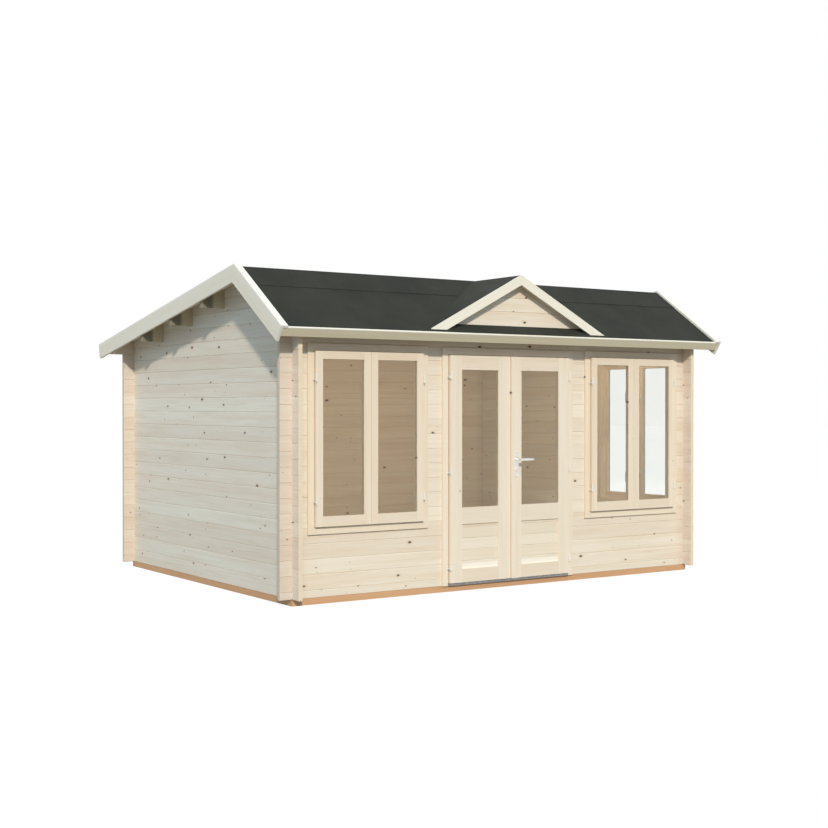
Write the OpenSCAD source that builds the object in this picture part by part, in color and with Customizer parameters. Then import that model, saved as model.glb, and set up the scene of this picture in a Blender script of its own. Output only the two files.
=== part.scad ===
// Timber log cabin: interlocked log walls on a beam frame, a ridged roof with a short steep
// front slope and a long shallow rear slope, a false gable over the entrance, double doors
// and three paired windows. X runs along the front, Y to the back, Z up from the ground.

/* [Footprint] */
// Width between the outer faces of the side walls
width = 4000; // [3800:10:4600]
// Depth between the outer faces of the front and rear walls
depth = 3000; // [2800:10:3600]
// Length of log that runs past each corner
log_over = 100; // [80:5:150]

/* [Base and floor] */
// Height of the base beams
base_h = 48; // [40:1:70]
// Width of a base beam
base_w = 60; // [45:1:90]
// Number of floor joists between the end beams
joist_count = 5; // [3:2:9]
// Thickness of the floor
floor_t = 18; // [16:1:28]
// Gap between the floor's edge and the walls
floor_gap = 6; // [1:0.5:10]

/* [Logs] */
// Thickness of a log
log_t = 34; // [28:1:45]
// Height of one log course
log_h = 114; // [108:1:120]
// Chamfer along each edge of a log, which makes the groove between courses
log_bevel = 3.5; // [1:0.5:6]
// Width of the tongue on top of a log
tongue_w = 10; // [6:1:14]
// Height of the tongue on top of a log
tongue_h = 6; // [3:1:10]
// Least height of log wall between an opening's trim and the roof boards
lintel = 150; // [110:5:200]
// Least height left at the sloping end of a gable log
log_tip = 14; // [10:1:30]

/* [Roof] */
// Distance of the ridge behind the front wall's outer face
ridge_in = 528; // [450:2:700]
// Pitch of the rear slope
rear_pitch = 10.3; // [8:0.1:14]
// Pitch of the front slope
front_pitch = 33.8; // [30:0.1:38]
// Overhang of the roof boards beyond the front wall
eave_front = 208; // [180:1:260]
// Overhang of the roof boards beyond the rear wall
eave_rear = 290; // [200:1:340]
// Overhang from a side wall to the outer face of its barge boards
verge = 210; // [160:1:280]
// Thickness of the roof boarding
deck_t = 18; // [15:1:22]
// Thickness of the roofing felt
felt_t = 3; // [2:0.5:5]
// Width of the ridge felt on each slope
lap_w = 270; // [150:5:400]
// Width of a purlin
purlin_w = 45; // [35:1:60]
// Depth of a purlin
purlin_h = 145; // [120:1:160]
// Distance between purlins along the rear slope
purlin_pitch = 600; // [520:5:640]
// Number of purlins under the rear slope
purlin_count = 3; // [1:1:3]

/* [Roof edges] */
// Width of a barge board
barge_w = 112; // [90:1:140]
// Thickness of a barge board
barge_t = 20; // [16:1:28]
// Width of the strip that caps the verge
strip_w = 58; // [45:1:80]
// Thickness of the strip that caps the verge
strip_t = 18; // [12:1:24]
// Width of an eaves fascia below the felt
fascia_w = 72; // [50:1:100]
// Thickness of an eaves fascia
fascia_t = 20; // [16:1:28]
// Setback of a fascia from the barge board's end
fascia_in = 4; // [1:1:12]

/* [False gable] */
// Pitch of the false gable's roof
dormer_pitch = 27.5; // [24:0.1:32]
// Drop of the false gable's ridge below the main ridge
dormer_drop = 4; // [3:1:40]
// Distance of its barge boards in front of the front wall
dormer_fwd = 170; // [120:1:175]
// Setback of the boarded panel from the barge board's face
dormer_panel_in = 80; // [30:1:90]
// Thickness of the boarded panel
dormer_panel_t = 18; // [12:1:24]
// Width of the false gable's barge boards
dormer_barge_w = 70; // [50:1:100]

/* [Frames] */
// Width of the trim that laps over the logs
trim_w = 52; // [40:1:60]
// Thickness of the trim
trim_t = 16; // [12:1:20]
// Thickness of a casing board inside an opening
casing_t = 24; // [18:1:32]
// Thickness of a sash or a door leaf
leaf_t = 40; // [34:1:46]
// Thickness of a pane
glass_t = 4; // [3:0.5:6]
// Distance from the front of a frame to the middle of its pane
glass_in = 10; // [8:1:20]
// Depth of the groove that holds a pane or a panel
groove_in = 8; // [4:1:12]

/* [Windows] */
// Width of log wall left on each side of a front window
window_side = 132; // [60:1:220]
// Shift of a front window outward from the middle of its stretch of wall
window_shift = 7; // [0:1:20]
// Width of log wall between the front wall and the side window
side_window_in = 46; // [40:1:900]
// Height of a sash
sash_h = 1298; // [900:1:1500]
// Rise of the sashes' tops above the tops of the door leaves
sash_up = 8; // [0:1:20]
// Width of a sash's stiles and top rail
sash_stile = 59; // [45:1:80]
// Width of a sash's bottom rail
sash_foot = 74; // [50:1:100]
// Gap between a sash and its surround
sash_gap = 4; // [1:0.5:6]
// Gap between the two sashes of a pair
sash_meet = 2; // [1:0.5:4]
// Distance of a sash's hinges from its top and its foot
sash_hinge = 197; // [120:1:300]
// Drop of the upper latch below the top of a sash
latch_high = 329; // [200:1:400]
// Height of the lower latch above the foot of a sash
latch_low = 277; // [200:1:400]
// Length of a latch's grip
latch_h = 90; // [60:1:120]
// Width of a latch's grip
latch_w = 15; // [10:1:20]
// Thickness of a latch's grip
latch_t = 9; // [6:0.5:12]
// Reach of a latch behind the sash
latch_out = 30; // [20:1:32]
// Width of a latch's rose
rose_w = 24; // [16:1:30]
// Height of a latch's rose
rose_h = 48; // [30:1:60]
// Diameter of a latch's neck
neck_d = 12; // [8:0.5:14]

/* [Doors] */
// Half the width of the pair of leaves
leaf_half = 607.5; // [560:0.5:640]
// Height of a leaf
leaf_h = 1792; // [1700:1:2100]
// Offset of the meeting line to the left of the middle
meet_off = 15; // [0:1:40]
// Gap between the two leaves
meet_gap = 9; // [8:0.5:12]
// Running gap round the leaves
leaf_gap = 6; // [5.5:0.5:10]
// Width of a leaf's stiles and top rail
leaf_stile = 112; // [90:1:130]
// Width of a leaf's bottom rail
leaf_foot = 105; // [80:1:150]
// Width of a leaf's middle rail
leaf_mid = 128; // [90:1:160]
// Height of the board panel below the middle rail
panel_h = 356; // [250:1:450]
// Thickness of the board panel
panel_t = 18; // [12:1:24]
// Height of the threshold
threshold_h = 16; // [10:1:22]
// Nose of the threshold in front of the wall
threshold_out = 22; // [10:1:30]
// Width of the strip that covers the meeting stile
cover_w = 72; // [60:1:90]
// Thickness of that strip
cover_t = 14; // [8:1:20]

/* [Hinges] */
// Diameter of a hinge barrel
barrel_d = 14; // [11:0.5:16]
// Length of a hinge barrel
barrel_l = 62; // [50:1:90]
// Thickness of a barrel's closed end
barrel_cap = 3; // [2:0.5:5]
// Diameter of a hinge pin
pin_d = 7; // [5:0.5:8]
// Diameter of the stud that carries a barrel on the frame
stud_d = 8; // [6:0.5:9]
// Height of the lowest hinge above the foot of the leaf
hinge_low = 130; // [90:5:250]
// Drop of the highest hinge below the head of the leaf
hinge_high = 157; // [90:5:250]

/* [Handle] */
// Height of the lever's spindle above the ground
lever_z = 1031; // [950:1:1100]
// Distance of the spindle from the meeting edge of the leaf
lever_in = 52; // [40:1:56]
// Width of a handle plate
plate_w = 36; // [28:1:40]
// Height of a handle plate
plate_h = 204; // [160:1:240]
// Height of the plate's top above the spindle
plate_up = 62; // [40:1:90]
// Thickness of a handle plate
plate_t = 3; // [2:0.5:5]
// Diameter of the spindle
spindle_d = 10; // [8:0.5:12]
// Diameter of the lever's hub
hub_d = 20; // [16:0.5:24]
// Reach of the lever in front of its plate
lever_out = 48; // [35:1:60]
// Length of the lever from its spindle
lever_l = 132; // [100:1:150]
// Thickness of the lever
lever_t = 11; // [8:0.5:14]
// Width of the lever at its tip
lever_tip = 16; // [10:0.5:20]

/* [Clearances] */
// Gap between fitted pieces
fit = 0.3; // [0.2:0.05:0.5]
// Gap round a turning pin or spindle
turn_fit = 0.4; // [0.3:0.05:0.6]

/* [Hidden] */
$fn = 48;

WOOD = "#e8dac0";
PALE_WOOD = "#f1e9d8";
BASE_WOOD = "#c8915a";
FELT = "#3f413c";
GLASS = [0.55, 0.52, 0.44, 0.45];
METAL = "#c9c9c6";

half_w = width / 2;
half_d = depth / 2;
front_y = -(half_d - log_t / 2);
rear_y = half_d - log_t / 2;
side_x = half_w - log_t / 2;

// Openings: the size of the hole in the logs and the places of its leaves
door_half = leaf_half + leaf_gap;
leaf_z = base_h + threshold_h + leaf_gap;
leaf_top = leaf_z + leaf_h;
door_top = leaf_top + leaf_gap;
sash_z = leaf_top + sash_up - sash_h;
window_low = sash_z - sash_gap;
window_top = sash_z + sash_h + sash_gap;
stretch = half_w - door_half - trim_w;
sash_w = (stretch - sash_meet) / 2 - window_side - trim_w - sash_gap;
window_open = 2 * (sash_w + sash_gap) + sash_meet;
window_x = door_half + trim_w + stretch / 2 + window_shift;
side_window_y = -half_d + log_t + side_window_in + trim_w + window_open / 2;

// Roof lines: the underside of the boards passes through the rear wall's top outer edge, and
// the rear wall has as many courses as the openings of the front wall need
half_course = log_h / 2;
ridge_y = -half_d + ridge_in;
rear_run = half_d - ridge_y;
front_rise = rear_run * tan(rear_pitch) - ridge_in * tan(front_pitch);
head_z = max(window_top, door_top) + trim_w + lintel;
rear_courses = ceil((head_z - front_rise - base_h - half_course) / log_h);
rear_top = base_h + half_course + rear_courses * log_h;
ridge_z = rear_top + rear_run * tan(rear_pitch);
s_front = (ridge_in + eave_front) / cos(front_pitch);
s_rear = (rear_run + eave_rear) / cos(rear_pitch);
ridge_shift = (1 / cos(rear_pitch) - 1 / cos(front_pitch)) / (tan(front_pitch) + tan(rear_pitch));

// Layers of the roof, measured square to the slope from the underside of the boards
felt_low = deck_t + fit;
felt_top = felt_low + felt_t;
lap_top = felt_top + fit + felt_t;
strip_low = felt_top + fit;
strip_top = strip_low + strip_t;

// Roof extents along X
barge_x = half_w + verge;
deck_x = barge_x - barge_t - fit;
lap_x = barge_x - strip_w - fit;
reach = width + depth;

function slope(front) = front ? front_pitch : rear_pitch;
function slope_dir(front) = front ? -1 : 1;
function slope_pt(front, s, n) = [
    ridge_y + slope_dir(front) * (s * cos(slope(front)) + n * sin(slope(front))),
    ridge_z - s * sin(slope(front)) + n * cos(slope(front))
];
function ridge_pt(n) = [
    ridge_y + n * ridge_shift,
    ridge_z + n / cos(rear_pitch) - n * ridge_shift * tan(rear_pitch)
];
function down_slope(front, gap) = [
    slope_dir(front) * gap * cos(slope(front)),
    -gap * sin(slope(front))
];
function under_y(front, z) = ridge_y + slope_dir(front) * (ridge_z - z) / tan(slope(front));
function under_z(y) = ridge_z - (y < ridge_y
    ? (ridge_y - y) * tan(front_pitch)
    : (y - ridge_y) * tan(rear_pitch));

// Depths at the front wall: a leaf stands in front of its casing
leaf_back_y = -half_d;
leaf_front_y = leaf_back_y - leaf_t;
panel_y = leaf_back_y - leaf_t / 2;
cover_y = leaf_front_y - fit - cover_t;
left_edge = -meet_off - meet_gap / 2;
right_edge = -meet_off + meet_gap / 2;
glass_z = leaf_z + leaf_foot + panel_h + leaf_mid;
glass_top = leaf_top - leaf_stile;

// Hinges and handle
axis_x = leaf_half;
axis_y = leaf_front_y - fit - barrel_d / 2;
hinge_zs = [
    leaf_z + hinge_low,
    leaf_z + (hinge_low + leaf_h - hinge_high) / 2,
    leaf_top - hinge_high
];
lever_x = right_edge + lever_in;

// Log courses: the front and rear walls start with half a log, the side walls with a whole one
function cross_z(k) = base_h + (k < 0 ? 0 : half_course + k * log_h);
function cross_h(k) = k < 0 ? half_course : log_h;
front_last = floor((under_z(-half_d + log_t) - log_tip - base_h - half_course) / log_h);
front_over = ceil((door_top - base_h - half_course) / log_h) - 1;
side_last = floor((ridge_z - 2 * log_tip - base_h) / log_h);

// Shared shapes
module along_x(x0, x1) {
    translate([x0, 0, 0]) rotate([90, 0, 90]) linear_extrude(x1 - x0) children();
}

module along_y(y0, y1) {
    translate([0, y1, 0]) rotate([90, 0, 0]) linear_extrude(y1 - y0) children();
}

module box(x0, x1, y0, y1, z0, z1) {
    translate([x0, y0, z0]) cube([x1 - x0, y1 - y0, z1 - z0]);
}

module both_sides() {
    children();
    mirror([1, 0, 0]) children();
}

// Section of a log: chamfered edges, a tongue on top and a groove below
function log_section(h) = let (
    t = log_t / 2,
    v = log_bevel,
    tongue = tongue_w / 2,
    groove = tongue + fit,
    low = fit,
    deep = tongue_h + fit
) [
    [-t, v + low], [-t + v, low], [-groove, low], [-groove, deep + low],
    [groove, deep + low], [groove, low], [t - v, low], [t, v + low],
    [t, h - v], [t - v, h], [tongue, h], [tongue, h + tongue_h],
    [-tongue, h + tongue_h], [-tongue, h], [-t + v, h], [-t, h - v]
];

module log_x(x0, x1, y, z0, h) {
    translate([0, y, z0]) along_x(x0, x1) polygon(log_section(h));
}

module log_y(y0, y1, x, z0, h) {
    translate([x, 0, z0]) along_y(y0, y1) polygon(log_section(h));
}

// Notches where two walls cross: each log keeps the middle half of its height
module cross_notch(x, y, z0, h) {
    side = log_t / 2 + fit;
    quarter = log_h / 4;
    keep_low = z0 + quarter + fit / 2;
    keep_top = z0 + h - quarter - fit / 2;
    if (h == log_h)
        box(x - side, x + side, y - side, y + side, z0 - fit, keep_low);
    box(x - side, x + side, y - side, y + side, keep_top, z0 + h + 2 * tongue_h);
}

// Everything below the underside of the roof boards
module under_roof() {
    far_front = slope_pt(true, reach, -fit);
    far_rear = slope_pt(false, reach, -fit);
    along_x(-barge_x, barge_x) polygon([
        far_front, ridge_pt(-fit), far_rear, [far_rear[0], -reach], [far_front[0], -reach]
    ]);
}

// A strip of one slope from the ridge down to s1, between two layers
module slope_band(front, n0, n1, s1, x0, x1) {
    gap = down_slope(front, fit / 2);
    along_x(x0, x1) polygon([
        ridge_pt(n0) + gap, slope_pt(front, s1, n0), slope_pt(front, s1, n1), ridge_pt(n1) + gap
    ]);
}

// A piece of one slope between two distances from the ridge
module slope_piece(front, n0, n1, s0, s1, x0, x1) {
    along_x(x0, x1) polygon([
        slope_pt(front, s0, n0), slope_pt(front, s1, n0),
        slope_pt(front, s1, n1), slope_pt(front, s0, n1)
    ]);
}

// Base and floor
module base_frame() {
    color(BASE_WOOD) {
        for (side = [-1, 1])
            translate([0, side * (half_d - base_w / 2), base_h / 2])
                cube([width, base_w, base_h], center = true);
        joist_l = depth - 2 * base_w - 2 * fit;
        last_x = half_w - base_w / 2;
        step = 2 * last_x / (joist_count + 1);
        for (i = [0 : joist_count + 1])
            translate([-last_x + i * step, 0, base_h / 2])
                cube([base_w, joist_l, base_h], center = true);
    }
}

module floor() {
    x = half_w - log_t - floor_gap;
    y = half_d - log_t - floor_gap;
    color(WOOD) box(-x, x, -y, y, base_h + fit, base_h + floor_t);
}

// Log walls
function past_joint(z, start) = (z - start) - log_h * floor((z - start) / log_h);

// A window's hole, taken to the joint between two logs where its edge comes close to one
module window_hole(start) {
    low = past_joint(window_low, start);
    top = past_joint(window_top, start);
    tongue = tongue_h + 2 * fit;
    box(-window_open / 2, window_open / 2, -log_t, 2 * log_t,
        window_low - (low < log_tip ? low : 0), window_top + (top < tongue ? tongue - top : 0));
}

module front_holes() {
    for (side = [-1, 1]) translate([side * window_x, -half_d, 0])
        window_hole(base_h + half_course);
    box(-door_half, door_half, -half_d - log_t, -half_d + 2 * log_t, 0, door_top);
}

module front_log(k, x0, x1) {
    difference() {
        log_x(x0, x1, front_y, cross_z(k), cross_h(k));
        for (side = [-1, 1]) cross_notch(side * side_x, front_y, cross_z(k), cross_h(k));
        if (cross_z(k + 1) + tongue_h > window_low && cross_z(k) < max(window_top, door_top))
            front_holes();
    }
}

module front_wall_left() {
    color(WOOD) for (k = [-1 : front_over - 1])
        front_log(k, -half_w - log_over, -door_half);
}

module front_wall_right() {
    mirror([1, 0, 0]) front_wall_left();
}

module front_wall_top() {
    color(WOOD) {
        for (k = [front_over : front_last - 1])
            front_log(k, -half_w - log_over, half_w + log_over);
        intersection() {
            front_log(front_last, -deck_x, deck_x);
            under_roof();
        }
    }
}

module rear_log(k, x) {
    difference() {
        log_x(-x, x, rear_y, cross_z(k), cross_h(k));
        for (side = [-1, 1]) cross_notch(side * side_x, rear_y, cross_z(k), cross_h(k));
    }
}

module rear_wall() {
    last = rear_courses - 1;
    color(WOOD) {
        for (k = [-1 : last - 1]) rear_log(k, half_w + log_over);
        intersection() {
            rear_log(last, deck_x);
            under_roof();
        }
    }
}

module purlin_outline(y, grow) {
    w = purlin_w / 2 + grow;
    low = under_z(y) - purlin_h - grow;
    polygon([[y - w, low], [y + w, low], [y + w, ridge_z + reach], [y - w, ridge_z + reach]]);
}

purlin_ys = [for (i = [0 : purlin_count]) ridge_y + i * purlin_pitch];

module purlin_slots() {
    for (y = purlin_ys) along_x(-barge_x, barge_x) purlin_outline(y, fit);
}

module side_log(x, k) {
    z0 = base_h + k * log_h;
    y0 = max(-half_d - log_over, under_y(true, z0 + log_tip));
    y1 = min(half_d + log_over, under_y(false, z0 + log_tip));
    difference() {
        log_y(y0, y1, x, z0, log_h);
        for (y = [front_y, rear_y]) cross_notch(x, y, z0, log_h);
    }
}

function touches_roof(k) = base_h + (k + 1) * log_h + tongue_h >
    min(under_z(half_d + log_over) - purlin_h, under_z(-half_d - log_over));

module side_wall(x) {
    for (k = [0 : side_last]) {
        if (touches_roof(k)) {
            difference() {
                intersection() {
                    side_log(x, k);
                    under_roof();
                }
                purlin_slots();
            }
        } else {
            side_log(x, k);
        }
    }
}

module left_wall() {
    color(WOOD) side_wall(-side_x);
}

module right_wall() {
    color(WOOD) difference() {
        side_wall(side_x);
        translate([half_w, side_window_y, 0]) rotate([0, 0, 90]) window_hole(base_h);
    }
}

// Roof
module roof_purlins() {
    color(WOOD) for (y = purlin_ys) intersection() {
        along_x(-deck_x, deck_x) purlin_outline(y, 0);
        under_roof();
    }
}

module roof_layer(n0, n1) {
    cut = fascia_in + fascia_t + fit;
    slope_band(true, n0, n1, s_front - cut, -deck_x, deck_x);
    slope_band(false, n0, n1, s_rear - cut, -deck_x, deck_x);
}

module roof_deck() {
    color(WOOD) roof_layer(0, deck_t);
}

module roof_felt() {
    color(FELT) roof_layer(felt_low, felt_top);
}

module ridge_felt() {
    n0 = felt_top + fit;
    color(FELT) along_x(-lap_x, lap_x) polygon([
        slope_pt(true, lap_w, n0), ridge_pt(n0), slope_pt(false, lap_w, n0),
        slope_pt(false, lap_w, lap_top), ridge_pt(lap_top), slope_pt(true, lap_w, lap_top)
    ]);
}

module right_barge_boards() {
    x0 = barge_x - barge_t;
    color(PALE_WOOD) {
        slope_band(true, felt_top - barge_w, felt_top, s_front, x0, barge_x);
        slope_band(false, felt_top - barge_w, felt_top, s_rear, x0, barge_x);
    }
}

module left_barge_boards() {
    mirror([1, 0, 0]) right_barge_boards();
}

module verge_strips() {
    x0 = barge_x - strip_w;
    color(PALE_WOOD) both_sides() {
        slope_band(true, strip_low, strip_top, s_front, x0, barge_x);
        slope_band(false, strip_low, strip_top, s_rear, x0, barge_x);
    }
}

// A fascia stands square to its slope, and its top edge rises between the verge strips
module fascia(front, s_end) {
    s1 = s_end - fascia_in;
    s0 = s1 - fascia_t;
    color(PALE_WOOD) union() {
        slope_piece(front, felt_top - fascia_w, felt_top, s0, s1, -deck_x, deck_x);
        slope_piece(front, felt_low, strip_top, s0, s1, -lap_x, lap_x);
    }
}

module front_fascia() {
    fascia(true, s_front);
}

module rear_fascia() {
    fascia(false, s_rear);
}

// False gable
dormer_y = -half_d - dormer_fwd;
dormer_ridge = ridge_pt(felt_top)[1] - dormer_drop;
dormer_apex = dormer_ridge - felt_top / cos(dormer_pitch);

// Everything below the felt of the front slope, with the lap of the ridge strip
module below_front_felt() {
    n0 = felt_top + fit;
    n1 = lap_top + fit;
    s_lap = lap_w + fit;
    along_x(-reach, reach) polygon([
        slope_pt(true, reach, n0), slope_pt(true, s_lap, n0), slope_pt(true, s_lap, n1),
        slope_pt(true, -reach, n1), slope_pt(true, -reach, -reach), slope_pt(true, reach, -reach)
    ]);
}

// One side of the false gable's roof between two layers, from the mitre outward
module dormer_side(n0, n1, y0, y1) {
    rise = 1 / cos(dormer_pitch);
    fall = half_w * tan(dormer_pitch);
    difference() {
        along_y(y0, y1) polygon([
            [fit / 2, dormer_apex + n0 * rise], [half_w, dormer_apex + n0 * rise - fall],
            [half_w, dormer_apex + n1 * rise - fall], [fit / 2, dormer_apex + n1 * rise]
        ]);
        below_front_felt();
    }
}

module dormer_deck() {
    color(WOOD) both_sides() dormer_side(0, deck_t, dormer_y + barge_t + fit, ridge_y);
}

module dormer_felt() {
    color(FELT) both_sides() dormer_side(felt_low, felt_top, dormer_y + barge_t + fit, ridge_y);
}

module dormer_barge_boards() {
    color(PALE_WOOD) both_sides()
        dormer_side(felt_top - dormer_barge_w, felt_top, dormer_y, dormer_y + barge_t);
}

module dormer_gable() {
    y0 = dormer_y + dormer_panel_in;
    top = dormer_apex - fit / cos(dormer_pitch);
    fall = half_w * tan(dormer_pitch);
    color(WOOD) difference() {
        along_y(y0, y0 + dormer_panel_t)
            polygon([[-half_w, top - fall], [half_w, top - fall], [0, top]]);
        below_front_felt();
    }
}

// Windows, drawn about a point on the wall's outer face with the wall behind it
module frame_boards(half, z0, z1, grow, deep, y0, y1) {
    for (side = [-1, 1])
        box(side > 0 ? half - deep : -half - grow, side > 0 ? half + grow : -half + deep,
            y0, y1, z0 - grow, z1 + grow);
    inner = half - deep - fit;
    box(-inner, inner, y0, y1, z1 - deep, z1 + grow);
    box(-inner, inner, y0, y1, z0 - grow, z0 + deep);
}

module window_frame() {
    half = window_open / 2;
    color(PALE_WOOD) {
        frame_boards(half, window_low, window_top, trim_w, 0, -fit - trim_t, -fit);
        frame_boards(half, window_low, window_top, -fit, casing_t, 0, log_t);
        frame_boards(half, window_low, window_top, trim_w, casing_t,
            log_t + fit, log_t + fit + trim_t);
    }
}

// A flat piece that fills an opening and stands in the grooves round it
module infill(x0, x1, y, t, z0, z1, grow) {
    side = groove_in + grow;
    box(x0 - side, x1 + side, y - t / 2 - grow, y + t / 2 + grow, z0 - side, z1 + side);
}

module sash_pane(x0, grow) {
    infill(x0 + sash_stile, x0 + sash_w - sash_stile, glass_in - fit - leaf_t, glass_t,
        sash_z + sash_foot, sash_z + sash_h - sash_stile, grow);
}

module sash(x0) {
    x1 = x0 + sash_w;
    top = sash_z + sash_h;
    y0 = -fit - leaf_t;
    rail0 = x0 + sash_stile + fit;
    rail1 = x1 - sash_stile - fit;
    difference() {
        union() {
            box(x0, x0 + sash_stile, y0, -fit, sash_z, top);
            box(x1 - sash_stile, x1, y0, -fit, sash_z, top);
            box(rail0, rail1, y0, -fit, sash_z, sash_z + sash_foot);
            box(rail0, rail1, y0, -fit, top - sash_stile, top);
        }
        sash_pane(x0, fit);
    }
}

module window_sashes() {
    color(PALE_WOOD) for (x0 = [-sash_meet / 2 - sash_w, sash_meet / 2]) sash(x0);
}

module window_glass() {
    color(GLASS) for (x0 = [-sash_meet / 2 - sash_w, sash_meet / 2]) sash_pane(x0, 0);
}

// A latch on the inside of a sash: a rose, a neck and an upright grip with round ends
module sash_latch() {
    grip_y = latch_out - latch_t;
    end_z = (latch_h - latch_w) / 2;
    union() {
        box(-rose_w / 2, rose_w / 2, 0, plate_t, -rose_h / 2, rose_h / 2);
        rotate([-90, 0, 0]) cylinder(d = neck_d, h = grip_y + latch_t / 2);
        box(-latch_w / 2, latch_w / 2, grip_y, latch_out, -end_z, end_z);
        for (side = [-1, 1]) translate([0, grip_y, side * end_z]) rotate([-90, 0, 0])
            cylinder(d = latch_w, h = latch_t);
    }
}

module sash_fittings() {
    axis = -2 * fit - leaf_t - barrel_d / 2;
    both_sides() for (z = [sash_z + sash_hinge, sash_z + sash_h - sash_hinge])
        translate([sash_meet / 2 + sash_w, axis, z]) {
            hinge_barrel();
            hinge_pin(sash_gap, axis);
        }
    for (z = [sash_z + latch_low, sash_z + sash_h - latch_high])
        translate([-(sash_meet + sash_stile) / 2, 0, z]) sash_latch();
}

module at_left_window() {
    translate([-window_x, -half_d, 0]) children();
}

module at_right_window() {
    translate([window_x, -half_d, 0]) children();
}

module at_side_window() {
    translate([half_w, side_window_y, 0]) rotate([0, 0, 90]) children();
}

module left_window_frame() {
    at_left_window() window_frame();
}

module left_window_sashes() {
    at_left_window() window_sashes();
}

module left_window_glass() {
    at_left_window() window_glass();
}

module right_window_frame() {
    at_right_window() window_frame();
}

module right_window_sashes() {
    at_right_window() window_sashes();
}

module right_window_glass() {
    at_right_window() window_glass();
}

module side_window_frame() {
    at_side_window() window_frame();
}

module side_window_sashes() {
    at_side_window() window_sashes();
}

module side_window_glass() {
    at_side_window() window_glass();
}

module window_fittings() {
    color(METAL) {
        at_left_window() sash_fittings();
        at_right_window() sash_fittings();
        at_side_window() sash_fittings();
    }
}

// Doorway
module door_frame() {
    casing_y = -half_d + leaf_gap;
    inner_y = -half_d + log_t + fit;
    sill_z = base_h + threshold_h + fit;
    floor_z = base_h + floor_t + fit;
    clear = door_half - casing_t;
    color(PALE_WOOD) {
        both_sides() {
            box(door_half, door_half + trim_w, -half_d - fit - trim_t, -half_d - fit,
                base_h + fit, door_top + trim_w);
            box(clear, door_half - fit, casing_y, -half_d + log_t, sill_z, door_top - fit);
            box(clear, door_half + trim_w, inner_y, inner_y + trim_t, floor_z, door_top + trim_w);
        }
        box(-door_half + fit, door_half - fit, -half_d - fit - trim_t, -half_d - fit,
            door_top, door_top + trim_w);
        box(-clear + fit, clear - fit, casing_y, -half_d + log_t,
            door_top - casing_t, door_top - fit);
        box(-clear + fit, clear - fit, inner_y, inner_y + trim_t,
            door_top - casing_t, door_top + trim_w);
    }
}

module door_threshold() {
    color(METAL) box(-door_half + fit, door_half - fit, -half_d - threshold_out,
        -half_d + log_t, base_h + fit, base_h + threshold_h);
}

// A leaf between two edges: stiles, a top, middle and foot rail
module leaf(x0, x1) {
    y0 = leaf_front_y;
    y1 = leaf_back_y;
    rail0 = x0 + leaf_stile + fit;
    rail1 = x1 - leaf_stile - fit;
    panel_top = leaf_z + leaf_foot + panel_h;
    difference() {
        union() {
            box(x0, x0 + leaf_stile, y0, y1, leaf_z, leaf_top);
            box(x1 - leaf_stile, x1, y0, y1, leaf_z, leaf_top);
            box(rail0, rail1, y0, y1, leaf_z, leaf_z + leaf_foot);
            box(rail0, rail1, y0, y1, panel_top, panel_top + leaf_mid);
            box(rail0, rail1, y0, y1, glass_top, leaf_top);
        }
        leaf_panel(x0, x1, fit);
        leaf_glass(x0, x1, fit);
    }
}

module leaf_panel(x0, x1, grow) {
    z0 = leaf_z + leaf_foot;
    infill(x0 + leaf_stile, x1 - leaf_stile, panel_y, panel_t, z0, z0 + panel_h, grow);
}

module leaf_glass(x0, x1, grow) {
    infill(x0 + leaf_stile, x1 - leaf_stile, leaf_front_y + glass_in, glass_t,
        glass_z, glass_top, grow);
}

// Upper half of a hinge about its middle, bored for the pin
module hinge_barrel() {
    translate([0, 0, turn_fit]) difference() {
        cylinder(d = barrel_d, h = barrel_l / 2 - turn_fit);
        translate([0, 0, -fit])
            cylinder(d = pin_d + 2 * turn_fit, h = barrel_l / 2 - barrel_cap);
    }
}

// Lower half on the frame, with its pin and the stud that carries it
module hinge_pin(edge_gap, axis) {
    stud_x = edge_gap + stud_d / 2 + fit;
    stud_l = stud_d / 2 - axis - 2 * fit - trim_t;
    translate([0, 0, -barrel_l / 2]) {
        cylinder(d = barrel_d, h = barrel_l / 2 - turn_fit);
        cylinder(d = pin_d, h = barrel_l - 2 * barrel_cap);
        translate([0, 0, barrel_l / 4]) rotate([0, 90, 0]) cylinder(d = stud_d, h = stud_x);
        translate([stud_x, -stud_d / 2, barrel_l / 4]) rotate([-90, 0, 0])
            cylinder(d = stud_d, h = stud_l);
    }
}

module barrels() {
    for (z = hinge_zs) translate([axis_x, axis_y, z]) hinge_barrel();
}

module door_hinge_pins() {
    color(METAL) both_sides() for (z = hinge_zs)
        translate([axis_x, axis_y, z]) hinge_pin(leaf_gap, axis_y + half_d);
}

module left_door_leaf() {
    color(PALE_WOOD) leaf(-leaf_half, left_edge);
}

module left_door_panel() {
    color(WOOD) leaf_panel(-leaf_half, left_edge, 0);
}

module left_door_glass() {
    color(GLASS) leaf_glass(-leaf_half, left_edge, 0);
}

module left_door_barrels() {
    color(METAL) mirror([1, 0, 0]) barrels();
}

module spindle_hole() {
    translate([lever_x, 0, lever_z]) rotate([90, 0, 0])
        cylinder(d = spindle_d + 2 * turn_fit, h = reach, center = true);
}

module right_door_leaf() {
    color(PALE_WOOD) difference() {
        leaf(right_edge, leaf_half);
        spindle_hole();
    }
}

module right_door_panel() {
    color(WOOD) leaf_panel(right_edge, leaf_half, 0);
}

module right_door_glass() {
    color(GLASS) leaf_glass(right_edge, leaf_half, 0);
}

module right_door_barrels() {
    color(METAL) barrels();
}

module door_cover_strip() {
    color(PALE_WOOD) difference() {
        box(right_edge, right_edge + cover_w, cover_y, cover_y + cover_t, leaf_z, leaf_top);
        spindle_hole();
    }
}

outer_plate_y = cover_y - fit - plate_t;
inner_plate_y = leaf_back_y + fit;

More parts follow.
